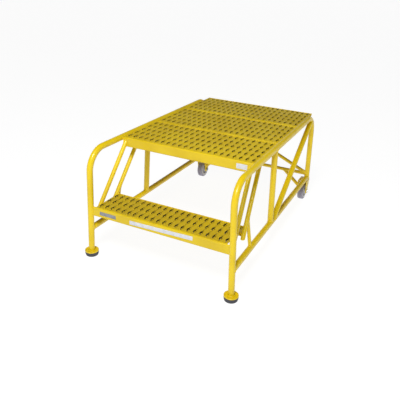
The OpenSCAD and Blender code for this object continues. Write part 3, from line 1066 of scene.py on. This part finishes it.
class PLATFORM_OT_fasteners(Operator):
    """Models the axle bolts and nuts, with chamfered heads and threaded ends"""

    bl_idname = "platform.fasteners"
    bl_label = "Model the axle bolts and nuts"

    def execute(self, context):
        nut_low, nut_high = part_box("right_axle_nut")
        bolt_low, bolt_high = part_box("right_axle_bolt")
        across = min(size("right_axle_nut").y, size("right_axle_nut").z)
        nut_t = nut_high.x - nut_low.x
        head_t = bolt_high.x - FORK_HIGH.x
        tail = nut_low.x - bolt_low.x
        shank_r = BOLT_R - FIT
        nut = hexagon(across, nut_t, BOLT_R, True)
        head = hexagon(across, head_t - FIT, 0, False)
        long = FORK_HIGH.x - nut_high.x + nut_t / 2
        shank = turned([(0, 0), (shank_r, 0), (shank_r, long), (0, long)], 48)
        for point in shank.data.vertices:
            point.co.z -= long
        thread = threaded(shank_r, THREAD_PITCH, THREAD_TURNS, tail + nut_t * 0.6)
        for point in thread.data.vertices:
            point.co.z = -(long - nut_t * 0.1) - point.co.z
        only(thread)
        bpy.ops.object.mode_set(mode="EDIT")
        bpy.ops.mesh.select_all(action="SELECT")
        bpy.ops.mesh.flip_normals()
        bpy.ops.object.mode_set(mode="OBJECT")
        bolt = joined([head, shank, thread])
        axis = middle("right_axle_nut")
        for name, side in SIDES.items():
            for model, kind, face in ((bolt, "bolt", FORK_HIGH.x + FIT), (nut, "nut", nut_low.x)):
                piece = copied(model)
                piece.rotation_euler = (0, side * math.pi / 2, 0)
                piece.location = (side * face, axis.y, axis.z)
                title = f"{name}_hexagon_{kind}"
                settle(piece, title, "frame", finish_of("zinc_plate"))
                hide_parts(f"{name}_axle_{kind}")
        for model in (bolt, nut):
            bpy.data.objects.remove(model)
        return {"FINISHED"}


class PLATFORM_OT_wheels(Operator):
    """Models the ribbed tyres and softens the edges of the moulded hubs"""

    bl_idname = "platform.wheels"
    bl_label = "Model the wheels"

    def execute(self, context):
        wide = size("right_tyre").x
        high = size("right_tyre").z / 2
        seat = size("right_wheel_hub").z / 2 + FIT
        half = wide / 2
        line, radii = [(seat, -half), (high, -half)], [0, TYRE_SHOULDER]
        for groove_at in (-half * 0.34, 0, half * 0.34):
            for deep, share in ((0, -1), (GROOVE_DEPTH, -0.6), (GROOVE_DEPTH, 0.6), (0, 1)):
                line.append((high - deep, groove_at + GROOVE_HALF_W * share))
                radii.append(0)
        line += [(high, half), (seat, half), (seat, -half)]
        radii += [TYRE_SHOULDER, 0, 0]
        tyre = smooth(turned(rounded(line, radii, 6), 96))
        for name in SIDES:
            piece = copied(tyre)
            piece.rotation_euler = (0, math.pi / 2, 0)
            piece.location = middle(f"{name}_tyre")
            wheel = f"{name}_wheel"
            settle(piece, f"{name}_ribbed_tyre", wheel, finish_of("grey_tyre"))
            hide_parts(f"{name}_tyre")
            hub = softened(f"{name}_wheel_hub", HUB_EDGE)
            finish = finish_of("pale_hub_plastic")
            settle(hub, f"{name}_moulded_hub", wheel, finish)
            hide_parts(f"{name}_wheel_hub")
        bpy.data.objects.remove(tyre)
        return {"FINISHED"}


class PLATFORM_OT_forks(Operator):
    """Softens the edges of the pressed wheel forks"""

    bl_idname = "platform.forks"
    bl_label = "Soften the wheel forks"

    def execute(self, context):
        for name in SIDES:
            fork = softened(f"{name}_wheel_fork", FORK_EDGE)
            settle(fork, f"{name}_pressed_fork", "frame", finish_of("frame_coat"))
            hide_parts(f"{name}_wheel_fork")
        return {"FINISHED"}


class PLATFORM_OT_treads(Operator):
    """Softens the edges of the serrated treads, so that their teeth catch the light"""

    bl_idname = "platform.treads"
    bl_label = "Soften the treads"

    def execute(self, context):
        for node, (name, _, _) in TREADS.items():
            tread = copied(NODES[node])
            clean_up(tread)
            self.merge_flat_walls(tread)
            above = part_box(node)[1].z - COLLAR_H * 7 / 8
            pick_edges(tread, lambda a, b: min(a.z, b.z) > above)
            bpy.ops.mesh.bevel(offset=TOOTH_ROUND, segments=1, affect="EDGES")
            bpy.ops.object.mode_set(mode="OBJECT")
            bpy.ops.mesh.customdata_custom_splitnormals_clear()
            smooth(tread, 50)
            settle(tread, name, "frame", finish_of(f"{node}_coat"))
            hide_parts(node)
        return {"FINISHED"}

    def merge_flat_walls(self, tread):
        """Turns the triangles of each wall and tooth into one face, and leaves the level sheet."""
        only(tread)
        bpy.ops.object.mode_set(mode="EDIT")
        bpy.ops.mesh.select_mode(type="FACE")
        bpy.ops.mesh.select_all(action="DESELECT")
        bpy.ops.object.mode_set(mode="OBJECT")
        for face in tread.data.polygons:
            face.select = abs(face.normal.z) < 0.99
        bpy.ops.object.mode_set(mode="EDIT")
        bpy.ops.mesh.dissolve_limited(angle_limit=math.radians(1))
        bpy.ops.object.mode_set(mode="OBJECT")


def plate(left, right, height, thick, corner):
    """A thin plate with rounded corners on a front face, between the middles of its two ends."""
    run = right - left
    bpy.ops.object.select_all(action="DESELECT")
    bpy.ops.mesh.primitive_cube_add(size=1)
    piece = bpy.context.object
    piece.scale = (run.length, thick, height)
    bpy.ops.object.transform_apply(scale=True)
    pick_edges(piece, lambda a, b: abs(a.y - b.y) > thick / 2)
    bpy.ops.mesh.bevel(offset=corner, segments=5, affect="EDGES")
    bpy.ops.object.mode_set(mode="OBJECT")
    pick_edges(piece, lambda a, b: max(a.y, b.y) < -thick * 0.45)
    bpy.ops.mesh.bevel(offset=thick * 0.4, segments=2, affect="EDGES")
    bpy.ops.object.mode_set(mode="OBJECT")
    smooth(piece, 50)
    piece.rotation_euler = (0, -math.atan2(run.z, run.x), 0)
    piece.location = (left + right) / 2 - BACK * thick / 2
    return piece


class PLATFORM_OT_plates(Operator):
    """Fixes the blank plates on the fronts of the step and the platform"""

    bl_idname = "platform.plates"
    bl_label = "Fix the blank plates"

    def execute(self, context):
        for name, (face, left, right, high, finish) in PLATES.items():
            ends = [Vector((x, face, z)) for x, z in (left, right)]
            piece = plate(*ends, high, PLATE_T, PLATE_CORNER)
            settle(piece, name, "frame", finish_of(f"blank_{finish}"))
        return {"FINISHED"}


def aim(azimuth, elevation):
    """The way from the object to what stands to the right of its front and above."""
    flat = math.cos(elevation)
    return Vector((math.sin(azimuth) * flat, -math.cos(azimuth) * flat, math.sin(elevation)))


class PLATFORM_OT_stage(Operator):
    """Makes the floor, the light and the camera"""

    bl_idname = "platform.stage"
    bl_label = "Set the stage"

    def execute(self, context):
        look = context.scene.platform_studio
        bpy.ops.object.select_all(action="DESELECT")
        bpy.ops.mesh.primitive_plane_add(size=FLOOR_WIDTH)
        floor = context.object
        floor.name = "studio_floor"
        paper = Finish("pale_paper", Emission_Strength=look.glow, Specular_IOR_Level=0.1)
        paper.shader.inputs["Emission Color"].default_value = (1, 1, 1, 1)
        cloud = paper.noise(0.8, 2.0)
        give(
            floor,
            paper.set(
                Base_Color=paper.mix(cloud, (0.14, 0.14, 0.14), (0.13, 0.13, 0.13)),
                Roughness=cloud * 0.05 + 0.7,
            ),
        )
        self.light_all_round(context, look)
        to_key = aim(look.key_azimuth, look.key_elevation)
        low, high = CAD_BOX
        bpy.ops.object.light_add(
            type="AREA",
            location=(low + high) / 2 + to_key * look.key_distance,
            rotation=to_key.to_track_quat("Z", "Y").to_euler(),
        )
        key = context.object
        key.name = "key_light"
        key.data.shape = "DISK"
        key.data.size = 2 * look.key_distance * math.tan(look.softness / 2)
        key.data.energy = 4 * look.key * look.key_distance**2
        a, r = look.azimuth, look.roll
        back = aim(a, look.elevation)
        right = Vector((math.cos(a), math.sin(a), 0))
        up = back.cross(right)
        right, up = (
            right * math.cos(r) + up * math.sin(r),
            up * math.cos(r) - right * math.sin(r),
        )
        bpy.ops.object.camera_add()
        camera = context.object
        camera.name = "photo_camera"
        camera.data.sensor_width = 36
        camera.data.lens = look.lens
        turn = Matrix((right, up, back)).transposed().to_4x4()
        camera.matrix_world = Matrix.Translation(look.eye) @ turn
        context.scene.camera = camera
        context.scene.view_settings.view_transform = "Standard"
        return {"FINISHED"}

    def light_all_round(self, context, look):
        world = bpy.data.worlds.new("studio")
        context.scene.world = world
        world.use_nodes = True
        tree = world.node_tree
        place = tree.nodes.new("ShaderNodeTexCoord")
        parts = tree.nodes.new("ShaderNodeSeparateXYZ")
        fade = tree.nodes.new("ShaderNodeMapRange")
        fade.interpolation_type = "SMOOTHSTEP"
        settings = {"From Min": 0.06, "From Max": 0.32, "To Min": look.horizon, "To Max": look.sky}
        for socket, value in settings.items():
            fade.inputs[socket].default_value = value
        tree.links.new(place.outputs["Generated"], parts.inputs[0])
        tree.links.new(parts.outputs["Z"], fade.inputs["Value"])
        tree.links.new(fade.outputs[0], tree.nodes["Background"].inputs["Strength"])
        tree.nodes["Background"].inputs["Color"].default_value = (1, 1, 1, 1)


class PLATFORM_PT_dress(Panel):
    """Lists the steps that dress the platform"""

    bl_label = "Work platform"
    bl_space_type = "VIEW_3D"
    bl_region_type = "UI"
    bl_category = "Platform"

    def draw(self, context):
        for step in STEPS:
            self.layout.operator(step.bl_idname)
        for group in GROUPS:
            props = getattr(context.scene, group)
            for name in props.__annotations__:
                self.layout.prop(props, name)


GROUPS = {
    "platform_paint": PaintProps,
    "platform_welds": WeldProps,
    "platform_studio": StudioProps,
}
STEPS = (
    PLATFORM_OT_paint,
    PLATFORM_OT_welds,
    PLATFORM_OT_feet,
    PLATFORM_OT_fasteners,
    PLATFORM_OT_wheels,
    PLATFORM_OT_forks,
    PLATFORM_OT_treads,
    PLATFORM_OT_plates,
    PLATFORM_OT_stage,
)
CLASSES = (*GROUPS.values(), *STEPS, PLATFORM_PT_dress)


def register():
    for made in CLASSES:
        bpy.utils.register_class(made)
    for name, group in GROUPS.items():
        setattr(bpy.types.Scene, name, PointerProperty(type=group))


def unregister():
    for name in GROUPS:
        delattr(bpy.types.Scene, name)
    for made in reversed(CLASSES):
        bpy.utils.unregister_class(made)


def main():
    register()
    for step in STEPS:
        group, name = step.bl_idname.split(".")
        getattr(getattr(bpy.ops, group), name)()
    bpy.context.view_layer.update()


if __name__ == "__main__":
    main()
